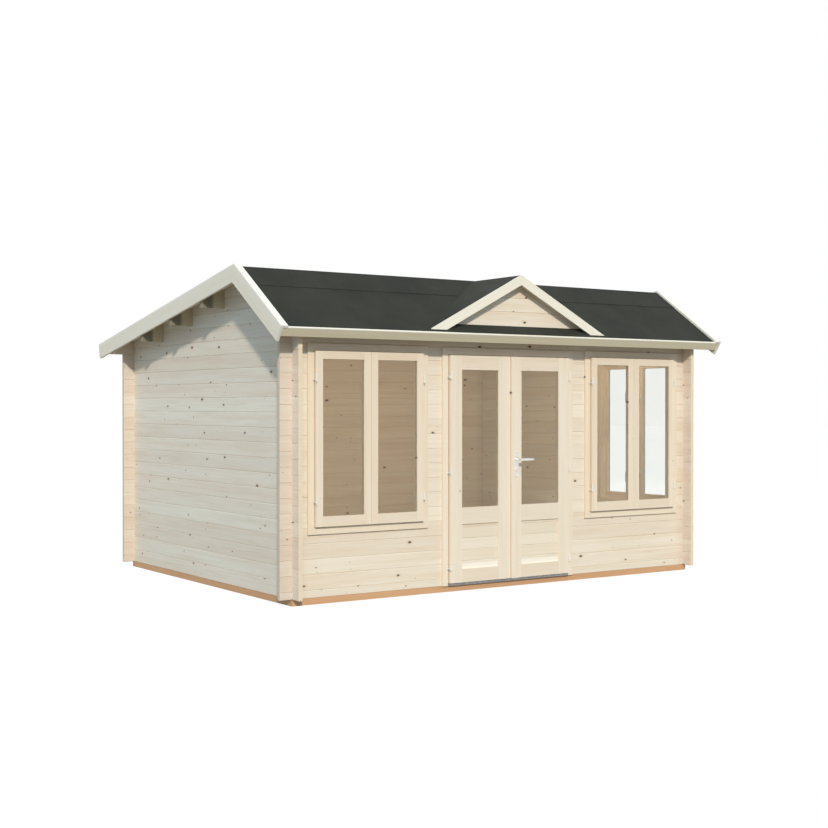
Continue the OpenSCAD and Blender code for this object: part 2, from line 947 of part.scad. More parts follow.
module handle_plate(y0) {
    box(lever_x - plate_w / 2, lever_x + plate_w / 2, y0, y0 + plate_t,
        lever_z + plate_up - plate_h, lever_z + plate_up);
}

module door_handle_plates() {
    color(METAL) difference() {
        for (y0 = [outer_plate_y, inner_plate_y]) handle_plate(y0);
        spindle_hole();
    }
}

// One lever, from its hub at the plate out to the grip
module lever_arm() {
    rotate([90, 0, 0]) cylinder(d = hub_d, h = lever_out);
    translate([0, -lever_out, 0]) hull() {
        rotate([90, 0, 0]) cylinder(d = hub_d, h = lever_t, $fn = 32);
        translate([lever_l - lever_tip / 2, 0, 0]) rotate([90, 0, 0])
            cylinder(d = lever_tip, h = lever_t, $fn = 32);
    }
}

module door_lever() {
    y0 = outer_plate_y - turn_fit;
    y1 = inner_plate_y + plate_t + turn_fit;
    color(METAL) translate([lever_x, 0, lever_z]) union() {
        translate([0, y0, 0]) lever_arm();
        translate([0, y0, 0]) rotate([-90, 0, 0]) cylinder(d = spindle_d, h = y1 - y0);
        translate([0, y1, 0]) mirror([0, 1, 0]) lever_arm();
    }
}

base_frame();
floor();
front_wall_left();
front_wall_right();
front_wall_top();
rear_wall();
left_wall();
right_wall();
roof_purlins();
roof_deck();
roof_felt();
ridge_felt();
left_barge_boards();
right_barge_boards();
verge_strips();
front_fascia();
rear_fascia();
dormer_gable();
dormer_deck();
dormer_felt();
dormer_barge_boards();
left_window_frame();
left_window_sashes();
left_window_glass();
right_window_frame();
right_window_sashes();
right_window_glass();
side_window_frame();
side_window_sashes();
side_window_glass();
window_fittings();
door_frame();
door_threshold();
door_hinge_pins();
left_door_leaf();
left_door_panel();
left_door_glass();
left_door_barrels();
right_door_leaf();
right_door_panel();
right_door_glass();
right_door_barrels();
door_cover_strip();
door_handle_plates();
door_lever();
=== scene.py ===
"""Looks of the log cabin: planed spruce, roofing felt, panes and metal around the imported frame."""
import math

import bmesh
import bpy
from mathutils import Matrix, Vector


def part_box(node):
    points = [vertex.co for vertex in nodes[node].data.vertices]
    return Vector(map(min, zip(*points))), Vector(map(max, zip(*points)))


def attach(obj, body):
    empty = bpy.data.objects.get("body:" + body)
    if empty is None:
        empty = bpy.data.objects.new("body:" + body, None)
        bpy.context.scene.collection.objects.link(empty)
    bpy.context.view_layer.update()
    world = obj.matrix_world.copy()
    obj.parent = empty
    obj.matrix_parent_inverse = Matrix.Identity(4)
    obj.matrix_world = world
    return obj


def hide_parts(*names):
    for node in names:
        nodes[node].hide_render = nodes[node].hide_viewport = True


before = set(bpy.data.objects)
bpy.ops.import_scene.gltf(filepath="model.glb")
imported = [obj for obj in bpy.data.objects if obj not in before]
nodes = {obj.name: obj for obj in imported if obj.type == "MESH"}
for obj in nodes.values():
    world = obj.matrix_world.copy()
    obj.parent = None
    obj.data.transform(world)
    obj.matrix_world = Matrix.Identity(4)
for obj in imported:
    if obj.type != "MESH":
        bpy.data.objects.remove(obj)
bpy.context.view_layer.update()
scene = bpy.context.scene

# Sizes repeated from the part, in metres
FIT = 0.0003
LOG_H, BASE_H, BEAM_W, REAR_COURSES = 0.114, 0.048, 0.0602, 17
HALF_W, HALF_D = 2.0, 1.5
FRONT_PITCH, REAR_PITCH = math.radians(33.8), math.radians(10.3)
DORMER_PITCH = math.radians(27.5)
FRONT_RUN, REAR_RUN, RIDGE_Y = 0.736, 2.762, -0.972
DECK_X, DECK_T, FASCIA_CUT = 2.1897, 0.018, 0.0243
FELT_X, FELT_TOP = 2.151, 0.0213
WINDOW_X, SIDE_WINDOW_Y, WINDOW_HALF = 1.33975, -0.88475, 0.48325
SASH_W, SASH_STILE, SASH_FOOT, SASH_MEET = 0.47825, 0.059, 0.074, 0.002
SASH_Z, SASH_TOP = 0.572, 1.870
DOOR_HALF, FRAME_T = 0.6135, 0.0245
LEAVES = {"left": (-0.6075, -0.0195), "right": (-0.0105, 0.6075)}
LEAF_T, LEAF_STILE, PANEL_T, GROOVE = 0.040, 0.112, 0.018, 0.008
GLASS_T, GLASS_IN = 0.004, 0.010
LEVER_X = 0.0415

HALF_COURSE = LOG_H / 2
RIDGE_Z = (BASE_H + HALF_COURSE + REAR_COURSES * LOG_H
           + (HALF_D - RIDGE_Y) * math.tan(REAR_PITCH))
# How far the line where the slopes meet moves along Y for each metre above them
RIDGE_SHIFT = ((1 / math.cos(REAR_PITCH) - 1 / math.cos(FRONT_PITCH))
               / (math.tan(FRONT_PITCH) + math.tan(REAR_PITCH)))
S_FRONT = FRONT_RUN / math.cos(FRONT_PITCH)
S_REAR = REAR_RUN / math.cos(REAR_PITCH)
SASH_MID = (SASH_W + SASH_MEET) / 2

# Boards that are made here: how many or how wide, the gap beside each, and the bevel
DECK_COUNT, DECK_GAP, DECK_BEVEL = 46, 0.0006, 0.004
DECK_STEP = 2 * DECK_X / DECK_COUNT
FLOOR_COUNT, FLOOR_GAP, FLOOR_BEVEL = 30, 0.0008, 0.0025
floor_low, floor_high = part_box("floor")
floor_step = (floor_high.y - floor_low.y) / FLOOR_COUNT
GABLE_BOARD, GABLE_GAP, GABLE_BEVEL, GABLE_LEAST = 0.112, 0.0005, 0.0045, 0.012
gable_low, gable_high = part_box("dormer_gable")
PANEL_BOARD, PANEL_GAP, PANEL_BEVEL = 0.089, 0.0006, 0.0022
PANEL_FIRST, PANEL_JOINTS = 0.073, 4
panel_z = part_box("left_door_panel")[0].z


def tint(r, g, b):
    """Linear colour of an 8-bit screen colour."""
    def channel(v):
        v /= 255
        return v / 12.92 if v <= 0.04045 else ((v + 0.055) / 1.055) ** 2.4
    return channel(r), channel(g), channel(b), 1.0


# Node nets

class Net:
    """Short ways to add nodes to a tree and join them."""

    def __init__(self, tree):
        self.tree = tree

    def node(self, kind, given=None, **settings):
        made = self.tree.nodes.new(kind)
        for key, value in settings.items():
            setattr(made, key, value)
        for key, value in (given or {}).items():
            self.feed(made.inputs[key], value)
        return made

    def feed(self, socket, value):
        if isinstance(value, bpy.types.NodeSocket):
            self.tree.links.new(value, socket)
        else:
            socket.default_value = value

    def math(self, operation, *values):
        made = self.node("ShaderNodeMath", operation=operation)
        for socket, value in zip(made.inputs, values):
            self.feed(socket, value)
        return made.outputs[0]

    def blend(self, share, low, high, mode="MIX"):
        """A mix of two colours."""
        made = self.node("ShaderNodeMix", {0: share, 6: low, 7: high},
                         data_type="RGBA", blend_type=mode)
        return made.outputs[2]

    def pick(self, share, low, high):
        """The first of two vectors where share is 0, the second where it is 1."""
        made = self.node("ShaderNodeMix", {0: share, 4: low, 5: high}, data_type="VECTOR")
        return made.outputs[1]

    def ramp(self, value, low, high, to_low=0.0, to_high=1.0):
        made = self.node("ShaderNodeMapRange", {
            "Value": value, "From Min": low, "From Max": high,
            "To Min": to_low, "To Max": to_high}, interpolation_type="SMOOTHSTEP")
        return made.outputs[0]

    def split(self, vector):
        return self.node("ShaderNodeSeparateXYZ", {0: vector}).outputs[:]

    def chances(self, colour):
        """The three numbers in a drawn colour."""
        return self.node("ShaderNodeSeparateColor", {0: colour}).outputs[:3]

    def join(self, x, y, z):
        return self.node("ShaderNodeCombineXYZ", {0: x, 1: y, 2: z}).outputs[0]

    def scaled(self, parts, factors):
        return self.join(*[self.math("MULTIPLY", p, f) for p, f in zip(parts, factors)])

    def noise(self, vector, scale=1.0, detail=2.0, rough=0.5):
        return self.node("ShaderNodeTexNoise", {
            "Vector": vector, "Scale": scale, "Detail": detail, "Roughness": rough}).outputs[0]

    def eye(self):
        """1 for what the camera sees, also through a pane or by reflection."""
        path = self.node("ShaderNodeLightPath")
        seen = path.outputs["Is Camera Ray"]
        for label in ("Is Glossy Ray", "Is Transmission Ray"):
            seen = self.math("MAXIMUM", seen, path.outputs[label])
        return seen


def shader_group(name, inputs, outputs):
    """A shader group with named sockets: its tree, net, inputs and outputs."""
    tree = bpy.data.node_groups.new(name, "ShaderNodeTree")
    for label, kind, value in inputs:
        socket = tree.interface.new_socket(name=label, in_out="INPUT", socket_type=kind)
        if value is not None:
            socket.default_value = value
    for label, kind in outputs:
        tree.interface.new_socket(name=label, in_out="OUTPUT", socket_type=kind)
    given = tree.nodes.new("NodeGroupInput").outputs
    made = tree.nodes.new("NodeGroupOutput").inputs
    return tree, Net(tree), given, made


# Grain: waves for each metre along, into and across the piece, then detail and roughness of noise
WIDE_GRAIN = ((0.9, 14, 17), 3.0, 0.55)
STREAK_GRAIN = ((2.2, 60, 75), 3.0, 0.6)
FINE_GRAIN = ((9, 420, 420), 2.0, 0.6)
BOARD_SHIFT = 61.0
# Knots: places for each metre along and across, and the spread and least of their size
KNOT_RATE, KNOT_SPREAD, KNOT_LEAST = (2.7, 4.6), 0.036, 0.016
PIN_RATE, PIN_SHARE = (6.5, 8.0), 0.3
RING_WAVES, RING_SIDE, RING_DEPTH = 1100.0, 0.06, 0.03
RED_BOARD, YELLOW_BOARD, DULL_BOARD = tint(226, 194, 172), tint(222, 206, 170), tint(120, 104, 84)
KNOT_HALO, KNOT_CORE = tint(204, 160, 122), tint(72, 52, 40)
SAWN_PALE, SAWN_DEEP = tint(243, 230, 204), tint(226, 204, 168)


def planed_spruce_group():
    """Planed spruce: streaks along the grain, a tone for each board, knots with halos, sawn ends.
    Grain is a place in metres with x along the grain, y into the piece and z across it."""
    tree, net, given, made = shader_group("planed_spruce", [
        ("Grain", "NodeSocketVector", None),
        ("Board", "NodeSocketFloat", LOG_H),
        ("Start", "NodeSocketFloat", 0.0),
        ("Knots", "NodeSocketFloat", 0.5),
        ("Knot Size", "NodeSocketFloat", 1.0),
        ("End", "NodeSocketFloat", 0.0),
        ("Pale", "NodeSocketColor", (0.8, 0.7, 0.55, 1.0)),
        ("Deep", "NodeSocketColor", (0.7, 0.55, 0.38, 1.0)),
    ], [("Color", "NodeSocketColor"), ("Roughness", "NodeSocketFloat"),
        ("Height", "NodeSocketFloat")])
    along, deep, across = net.split(given["Grain"])[:3]
    from_start = net.math("SUBTRACT", across, given["Start"])
    row = net.math("FLOOR", net.math("DIVIDE", from_start, given["Board"]))
    luck = net.node("ShaderNodeTexWhiteNoise", {"W": row}, noise_dimensions="1D")
    turn_r, turn_g, turn_b = net.chances(luck.outputs["Color"])
    moved = net.math("MULTIPLY_ADD", luck.outputs["Value"], BOARD_SHIFT, along)

    wide, streak, fine = [
        net.noise(net.scaled((moved, deep, across), waves), 1.0, detail, rough)
        for waves, detail, rough in (WIDE_GRAIN, STREAK_GRAIN, FINE_GRAIN)]

    def knot_places(rate):
        """Scattered points: how far off the nearest one is, and its chances."""
        cell = net.node("ShaderNodeTexVoronoi", {
            "Vector": net.join(net.math("MULTIPLY", moved, rate[0]),
                               net.math("MULTIPLY", across, rate[1]), 0.0),
            "Scale": 1.0, "Randomness": 1.0}, voronoi_dimensions="2D")
        return cell.outputs["Distance"], net.chances(cell.outputs["Color"])

    off, (here, big, _) = knot_places(KNOT_RATE)
    present = net.math("LESS_THAN", here, given["Knots"])
    size = net.math("MULTIPLY_ADD", net.math("POWER", big, 2.0), KNOT_SPREAD, KNOT_LEAST)
    far = net.math("DIVIDE", off, net.math("MULTIPLY", size, given["Knot Size"]))
    core = net.math("MULTIPLY", net.ramp(far, 0.75, 1.05, 1.0, 0.0), present)
    halo = net.math("MULTIPLY", net.ramp(far, 0.9, 3.0, 1.0, 0.0), present)
    off, (here, _, _) = knot_places(PIN_RATE)
    present = net.math("LESS_THAN", here, net.math("MULTIPLY", given["Knots"], PIN_SHARE))
    pin = net.ramp(net.math("DIVIDE", off, given["Knot Size"]), 0.018, 0.03, 0.75, 0.0)
    core = net.math("MAXIMUM", core, net.math("MULTIPLY", pin, present))

    share = net.math("MULTIPLY", net.ramp(streak, 0.42, 0.75), 0.3)
    share = net.math("MULTIPLY_ADD", net.ramp(wide, 0.38, 0.68), 0.36, share)
    share = net.math("MULTIPLY_ADD", net.ramp(fine, 0.5, 0.8), 0.15, share)
    wood = net.blend(share, given["Pale"], given["Deep"])
    for chance, most, tone in ((turn_r, 0.22, RED_BOARD), (turn_g, 0.10, YELLOW_BOARD),
                               (turn_b, 0.07, DULL_BOARD), (halo, 0.26, KNOT_HALO),
                               (core, 0.92, KNOT_CORE)):
        wood = net.blend(net.math("MULTIPLY", chance, most), wood, tone)

    local = net.math("SUBTRACT", from_start, net.math("MULTIPLY", row, given["Board"]))
    reach_a = net.math("ADD", local, net.math("MULTIPLY", turn_g, RING_SIDE))
    reach_d = net.math("ADD", deep, net.math("MULTIPLY", turn_r, RING_DEPTH))
    radius = net.math("SQRT", net.math("ADD", net.math("POWER", reach_a, 2.0),
                                       net.math("POWER", reach_d, 2.0)))
    ring = net.math("SINE", net.math("MULTIPLY", radius, RING_WAVES))
    sawn = net.blend(net.ramp(ring, -0.6, 1.0), SAWN_PALE, SAWN_DEEP)
    wood = net.blend(net.math("MULTIPLY", given["End"], 0.8), wood, sawn)

    rough = net.math("MULTIPLY_ADD", streak, 0.16, 0.52)
    raised = net.math("MULTIPLY_ADD", streak, 0.5, net.math("MULTIPLY", fine, 0.35))
    height = net.math("SUBTRACT", raised, net.math("MULTIPLY", core, 0.4))
    for label, value in (("Color", wood), ("Roughness", rough), ("Height", height)):
        net.feed(made[label], value)
    return tree


SPRUCE = planed_spruce_group()


def new_finish(name):
    """An empty material with its Principled shader: material, net and shader."""
    material = bpy.data.materials.new(name)
    material.use_nodes = True
    material.node_tree.nodes.clear()
    net = Net(material.node_tree)
    shader = net.node("ShaderNodeBsdfPrincipled")
    net.node("ShaderNodeOutputMaterial", {"Surface": shader.outputs[0]})
    return material, net, shader


def place(net):
    """Object coordinates, split, and the object's own normal."""
    where = net.node("ShaderNodeTexCoord")
    return net.split(where.outputs["Object"])[:3], where.outputs["Normal"]


def add_bump(net, shader, height, strength, distance):
    bump = net.node("ShaderNodeBump", {
        "Height": height, "Strength": strength, "Distance": distance})
    net.feed(shader.inputs["Normal"], bump.outputs[0])


def spruce(name, layout, board=LOG_H, start=0.0, knots=0.5, knot_size=1.0, ends=True,
           pale=tint(245, 234, 218), deep=tint(226, 203, 174), painted_light=None):
    """A spruce finish. layout(net, x, y, z) gives the grain's place, and the axis that ends face.
    painted_light is an axis, how far out along it a painted shade or painted light tone begins and
    is full, and the tone."""
    material, net, shader = new_finish(name)
    (x, y, z), normal = place(net)
    grain, end_axis = layout(net, x, y, z)
    end = 0.0
    if ends and end_axis is not None:
        facing = net.math("ABSOLUTE", net.split(normal)[end_axis])
        end = net.math("GREATER_THAN", facing, 0.9)
    wood = net.node("ShaderNodeGroup", node_tree=SPRUCE)
    for label, value in (("Grain", grain), ("Board", board), ("Start", start), ("Knots", knots),
                         ("Knot Size", knot_size), ("End", end), ("Pale", pale), ("Deep", deep)):
        net.feed(wood.inputs[label], value)
    colour = wood.outputs["Color"]
    # Painted shade or painted light: a tone multiplied onto the wood towards the ends along one axis
    if painted_light:
        axis, begin, full, tone = painted_light
        off = net.math("ABSOLUTE", (x, y, z)[axis])
        colour = net.blend(net.ramp(off, begin, full), colour, tone, "MULTIPLY")
    net.feed(shader.inputs["Base Color"], colour)
    net.feed(shader.inputs["Roughness"], wood.outputs["Roughness"])
    shader.inputs["Specular IOR Level"].default_value = 0.3
    add_bump(net, shader, wood.outputs["Height"], 0.25, 0.0015)
    return material


# Layouts of the grain. A shift keeps members of one node from sharing their streaks.
LEVEL_SHIFT, SIDE_SHIFT, RAIL_SHIFT = 3.0, 9.0, 5.0


def grain_x(net, x, y, z):
    return net.join(x, y, z), 0


def grain_y(net, x, y, z):
    return net.join(y, x, z), 1


def upright_grain(net, x, y, z):
    return net.join(z, y, x), None


def floor_grain(net, x, y, z):
    return net.join(x, z, y), None


def deck_grain(net, x, y, z):
    return net.join(y, z, x), None


def turned_grain(axis, centre, outer):
    """Upright grain further from centre than outer, level grain nearer to it."""
    def layout(net, x, y, z):
        level, depth = (x, y)[axis], (y, x)[axis]
        off = net.math("SUBTRACT", level, centre)
        upright = net.math("GREATER_THAN", net.math("ABSOLUTE", off), outer)
        side = net.math("MULTIPLY", net.math("SIGN", off), upright)
        return net.pick(
            upright,
            net.join(level, depth, net.math("ADD", z, LEVEL_SHIFT)),
            net.join(net.math("MULTIPLY_ADD", side, SIDE_SHIFT, z), depth, level)), None
    return layout


def paired_grain(axis, centres, half, stile):
    """Upright grain in the stiles of leaves that stand at these centres, level grain in rails."""
    def layout(net, x, y, z):
        level, depth = (x, y)[axis], (y, x)[axis]
        rail = 0.0
        for centre in centres:
            off = net.math("ABSOLUTE", net.math("SUBTRACT", level, centre))
            rail = net.math("MAXIMUM", rail, net.math("LESS_THAN", off, half - stile))
        return net.pick(
            rail,
            net.join(z, depth, level),
            net.join(level, depth, net.math("ADD", z, RAIL_SHIFT))), None
    return layout


def roof_grain(net, x, y, z):
    """Grain down both slopes of the roof."""
    behind = net.math("SUBTRACT", y, RIDGE_Y)
    before = net.math("MULTIPLY", behind, -1.0)
    fall = net.math("ADD", *[
        net.math("MULTIPLY", net.math("MAXIMUM", off, 0.0), math.tan(pitch))
        for off, pitch in ((behind, REAR_PITCH), (before, FRONT_PITCH))])
    return net.join(y, x, net.math("ADD", z, fall)), None


def dormer_grain(net, x, y, z):
    """Grain down both slopes of the false gable."""
    fall = net.math("MULTIPLY", net.math("ABSOLUTE", x), math.tan(DORMER_PITCH))
    return net.join(x, y, net.math("ADD", z, fall)), None


def beam_grain(net, x, y, z):
    """Front and rear beams run along X, the joists along Y."""
    joist = net.math("LESS_THAN", net.math("ABSOLUTE", y), HALF_D - BEAM_W)
    return net.pick(joist, net.join(x, y, z), net.join(y, x, z)), None


FELT_DARK, FELT_PALE = tint(44, 46, 41), tint(54, 56, 49)
FELT_RUN, FELT_GRIT, FELT_FLECK = tint(40, 42, 40), tint(34, 35, 33), tint(88, 88, 83)


def felt_finish(name):
    """Mineral roofing felt: dark granules with fine pale flecks and a soft mottle."""
    material, net, shader = new_finish(name)
    (x, y, z), _ = place(net)
    spot = net.join(x, y, z)
    mottle = net.noise(spot, 2.6, 4.0, 0.6)
    grit = net.noise(spot, 260.0, 3.0, 0.7)
    fleck = net.node("ShaderNodeTexVoronoi", {"Vector": spot, "Scale": 240.0},
                     voronoi_dimensions="3D")
    pale = net.math("LESS_THAN", fleck.outputs["Distance"], 0.22)
    run = net.noise(net.scaled((x, y, z), (7.0, 0.5, 0.5)), 1.0, 3.0, 0.6)
    colour = net.blend(net.ramp(mottle, 0.3, 0.7), FELT_DARK, FELT_PALE)
    for mask, most, tone in ((net.ramp(run, 0.45, 0.75), 0.35, FELT_RUN),
                             (net.ramp(grit, 0.45, 0.75), 0.5, FELT_GRIT),
                             (pale, 0.28, FELT_FLECK)):
        colour = net.blend(net.math("MULTIPLY", mask, most), colour, tone)
    net.feed(shader.inputs["Base Color"], colour)
    net.feed(shader.inputs["Roughness"], net.math("MULTIPLY_ADD", grit, 0.2, 0.78))
    shader.inputs["Specular IOR Level"].default_value = 0.2
    add_bump(net, shader, net.math("ADD", grit, net.math("MULTIPLY", pale, 0.4)), 0.5, 0.0012)
    return material


PANE_GREEN, PANE_CLEAR = (0.93, 0.95, 0.93, 1), (0.97, 0.97, 0.95, 1)
SKY_THROUGH, LAMP_THROUGH = (0.93, 0.94, 0.92, 1), (0.4, 0.4, 0.39, 1)


def pane_finish(name):
    """Clear glass with a faint ripple, which lets some of the lamps' light through to the room."""
    material, net, shader = new_finish(name)
    (x, y, z), _ = place(net)
    ripple = net.noise(net.join(x, y, z), 5.0, 1.0, 0.4)
    net.feed(shader.inputs["Base Color"], net.blend(ripple, PANE_GREEN, PANE_CLEAR))
    net.feed(shader.inputs["Roughness"], net.math("MULTIPLY", ripple, 0.015))
    shader.inputs["Transmission Weight"].default_value = 1.0
    shader.inputs["IOR"].default_value = 1.45
    add_bump(net, shader, ripple, 0.02, 0.001)
    path = net.node("ShaderNodeLightPath")
    shadow, diffuse = path.outputs["Is Shadow Ray"], path.outputs["Is Diffuse Ray"]
    clear = net.node("ShaderNodeBsdfTransparent", {
        "Color": net.blend(shadow, SKY_THROUGH, LAMP_THROUGH)})
    mixed = net.node("ShaderNodeMixShader", {
        0: net.math("MAXIMUM", shadow, diffuse), 1: shader.outputs[0], 2: clear.outputs[0]})
    end = next(n for n in net.tree.nodes if n.type == "OUTPUT_MATERIAL")
    net.feed(end.inputs["Surface"], mixed.outputs[0])
    return material


def metal_finish(name, low, high, metallic, rough, streaks):
    """Plated or painted metal with a fine brushed streak and faint handling marks."""
    material, net, shader = new_finish(name)
    (x, y, z), _ = place(net)
    brush = net.noise(net.scaled((x, y, z), streaks), 1.0, 3.0, 0.6)
    marks = net.noise(net.join(x, y, z), 38.0, 4.0, 0.65)
    net.feed(shader.inputs["Base Color"], net.blend(net.ramp(marks, 0.3, 0.75), low, high))
    net.feed(shader.inputs["Roughness"], net.math("MULTIPLY_ADD", brush, 0.18, rough))
    shader.inputs["Metallic"].default_value = metallic
    add_bump(net, shader, brush, 0.08, 0.0004)
    return material


# Finishes. Where a node is one board wide, board and start only keep its tone in one piece.
PALE_JOINERY = dict(pale=tint(246, 234, 217), deep=tint(233, 214, 187), knots=0.3, knot_size=0.6)
PAINTED_PALE = dict(pale=tint(249, 245, 233), deep=tint(240, 231, 212), knots=0.22, knot_size=0.5)
# A darker, warmer copy of the pale paint: painted shade on the front fascia under the eaves
FASCIA_SHADE_TONES = dict(pale=tint(233, 225, 198), deep=tint(219, 207, 174))
WINDOW_TONES = dict(pale=tint(244, 230, 210), deep=tint(231, 209, 179))
# Painted shade on the front and rear walls' logs towards their corner ends
FRONT_CORNER_SHADE = (0, HALF_W - 0.15, HALF_W - 0.01, (0.84, 0.83, 0.85, 1.0))
# Painted warm bounce light on the side walls' log ends that stand out past the front and rear walls
SIDE_POST_BOUNCE = (1, HALF_D - 0.02, HALF_D + 0.02, (0.99, 0.94, 0.92, 1.0))
# Painted shadow on the purlins' outer ends, where sun would fall below the barge boards
PURLIN_END_SHADOW = (0, HALF_W + 0.08, HALF_W + 0.12, (0.38, 0.39, 0.40, 1.0))

logs_x = spruce("logs_front", grain_x, start=BASE_H + HALF_COURSE, knots=0.85, painted_light=FRONT_CORNER_SHADE)
# The side walls' logs take a cooler copy of the spruce tones: painted bluish sky light
logs_y = spruce("logs_side", grain_y, start=BASE_H, knots=0.9, painted_light=SIDE_POST_BOUNCE,
                pale=tint(246, 241, 231), deep=tint(226, 211, 190))
# Purlins take a darker copy of the spruce tones: painted shade under the verges
purlin_wood = spruce("purlin_spruce", grain_x, board=0.6, knots=0.4, painted_light=PURLIN_END_SHADOW,
                     pale=tint(205, 197, 171), deep=tint(180, 164, 132))
deck_wood = spruce("roof_board_spruce", deck_grain, board=DECK_STEP, start=-DECK_X, knots=0.55)
floor_wood = spruce("floor_board_spruce", floor_grain, board=floor_step, start=floor_low.y,
                    knots=0.55)
barge_wood = spruce("barge_spruce", roof_grain, board=0.5, start=2.0, ends=False, **PAINTED_PALE)
strip_wood = spruce("verge_strip_spruce", roof_grain, board=0.5, start=2.0, ends=False,
                    knots=0.1, knot_size=0.5, pale=tint(252, 247, 241), deep=tint(246, 239, 228))
# The front fascia: pale paint darkened by painted shade
fascia_wood = spruce("fascia_spruce", grain_x, board=0.4, start=1.8,
                     **{**PAINTED_PALE, **FASCIA_SHADE_TONES})
lath_wood = spruce("eaves_lath_spruce", grain_x, board=0.4, start=1.8, **PAINTED_PALE)
dormer_barge_wood = spruce("false_gable_barge_spruce", dormer_grain, board=0.5, start=2.2,
                           **PAINTED_PALE)
dormer_wood = spruce("false_gable_spruce", grain_x, board=GABLE_BOARD, start=gable_low.z,
                     knots=0.6)
beam_wood = spruce("impregnated_timber", beam_grain, board=0.2, start=-0.05, knots=0.35,
                   ends=False, pale=tint(214, 165, 120), deep=tint(188, 130, 84))
level_wood = spruce("panel_spruce", grain_x, board=PANEL_BOARD, start=panel_z + PANEL_FIRST,
                    ends=False, knots=0.4, knot_size=0.7,
                    pale=tint(245, 234, 217), deep=tint(232, 212, 184))
# Paler than the panel boards: a painted highlight for sun on the sloped foot mouldings
foot_highlight_wood = spruce("panel_foot_spruce", grain_x, board=1.0, start=-0.5, ends=False, knots=0.0,
                   pale=tint(254, 247, 236), deep=tint(246, 234, 214))
felt = felt_finish("mineral_felt")
pane = pane_finish("window_pane")
white_metal = metal_finish("white_plated_metal", tint(226, 226, 222), tint(243, 243, 240),
                           metallic=0.0, rough=0.28, streaks=(60, 60, 60))
satin_metal = metal_finish("satin_steel", tint(216, 216, 213), tint(236, 236, 233),
                           metallic=1.0, rough=0.18, streaks=(30, 300, 300))
mill_metal = metal_finish("mill_aluminium", tint(132, 134, 136), tint(164, 166, 166),
                          metallic=1.0, rough=0.46, streaks=(6, 400, 400))
# Near-black metal for the keyways: painted shade standing in for the hollow slot
dark_slot = metal_finish("dark_keyway", tint(24, 24, 24), tint(44, 43, 41),
                         metallic=0.6, rough=0.5, streaks=(90, 90, 90))


def joinery(name, layout, **tones):
    return spruce(name, layout, board=3.0, start=-1.5, ends=False, **{**PALE_JOINERY, **tones})


window_woods = {}
for key, axis, centre in (("left", 0, -WINDOW_X), ("right", 0, WINDOW_X),
                          ("side", 1, SIDE_WINDOW_Y)):
    trim_layout = turned_grain(axis, centre, WINDOW_HALF - FRAME_T)
    sash_layout = paired_grain(axis, (centre - SASH_MID, centre + SASH_MID),
                               SASH_W / 2, SASH_STILE)
    window_woods[key] = (joinery(key + "_window_trim", trim_layout, **WINDOW_TONES),
                         joinery(key + "_sash_spruce", sash_layout, **WINDOW_TONES))
door_trim = joinery("door_trim_spruce", turned_grain(0, 0.0, DOOR_HALF - FRAME_T))
leaf_woods = {
    key: joinery(key + "_leaf_spruce", paired_grain(0, ((a + b) / 2,), (b - a) / 2, LEAF_STILE))
    for key, (a, b) in LEAVES.items()}
upright_wood = joinery("upright_spruce", upright_grain)


def give(finish, *names):
    """Puts one finish on CAD nodes."""
    for name in names:
        mesh_object = nodes[name]
        if not mesh_object.material_slots:
            mesh_object.data.materials.append(finish)
        for slot in mesh_object.material_slots:
            slot.material = finish


give(logs_x, "front_wall_left", "front_wall_right", "front_wall_top", "rear_wall")
give(logs_y, "left_wall", "right_wall")
give(purlin_wood, "roof_purlins")
give(deck_wood, "roof_deck", "dormer_deck")
give(felt, "roof_felt", "ridge_felt", "dormer_felt")
give(barge_wood, "left_barge_boards", "right_barge_boards")
give(strip_wood, "verge_strips")
give(fascia_wood, "front_fascia", "rear_fascia")
give(dormer_barge_wood, "dormer_barge_boards")
give(dormer_wood, "dormer_gable")
give(beam_wood, "base_frame")
give(floor_wood, "floor")
for key, (trim_wood, sash_wood) in window_woods.items():
    give(trim_wood, key + "_window_frame")
    give(sash_wood, key + "_window_sashes")
    give(pane, key + "_window_glass")
give(white_metal, "window_fittings", "door_hinge_pins", "left_door_barrels", "right_door_barrels")
give(door_trim, "door_frame")
give(mill_metal, "door_threshold")
for key, leaf_wood in leaf_woods.items():
    give(leaf_wood, key + "_door_leaf")
    give(level_wood, key + "_door_panel")
    give(pane, key + "_door_glass")
give(upright_wood, "door_cover_strip")
give(satin_metal, "door_handle_plates", "door_lever")


# Mesh pieces

def piece(name, mesh, finish, body, slot, stands_for=()):
    """Puts a finished mesh in the scene on its body."""
    made = bpy.data.objects.new(name, mesh)
    scene.collection.objects.link(made)
    mesh.materials.clear()
    mesh.materials.append(finish)
    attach(made, body)
    if stands_for:
        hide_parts(*stands_for)


def mesh_of(name, parts):
    """One mesh of closed parts, each a list of verts and a list of faces, turned outwards."""
    verts, faces = [], []
    for part_verts, part_faces in parts:
        base = len(verts)
        verts += [tuple(v) for v in part_verts]
        faces += [tuple(i + base for i in face) for face in part_faces]
    mesh = bpy.data.meshes.new(name)
    mesh.from_pydata(verts, [], faces)
    shell = bmesh.new()
    shell.from_mesh(mesh)
    bmesh.ops.remove_doubles(shell, verts=shell.verts, dist=1e-6)
    bmesh.ops.recalc_face_normals(shell, faces=shell.faces)
    shell.to_mesh(mesh)
    shell.free()
    return mesh


def built(name, parts, *place_and_kind):
    """A piece made of closed parts, with its finish and body. The slot it is given is not used."""
    piece(name, mesh_of(name, parts), *place_and_kind)


def prism(rings):
    """Verts and faces of a bar between two rings of points."""
    n = len(rings[0])
    verts = list(rings[0]) + list(rings[1])
    faces = [tuple(range(n)), tuple(range(2 * n - 1, n - 1, -1))]
    faces += [(i, (i + 1) % n, n + (i + 1) % n, n + i) for i in range(n)]
    return verts, faces


def bar(x0, x1, section):
    """A bar along X whose section is a ring of places in Y and Z."""
    return prism([[(x, y, z) for y, z in section] for x in (x0, x1)])


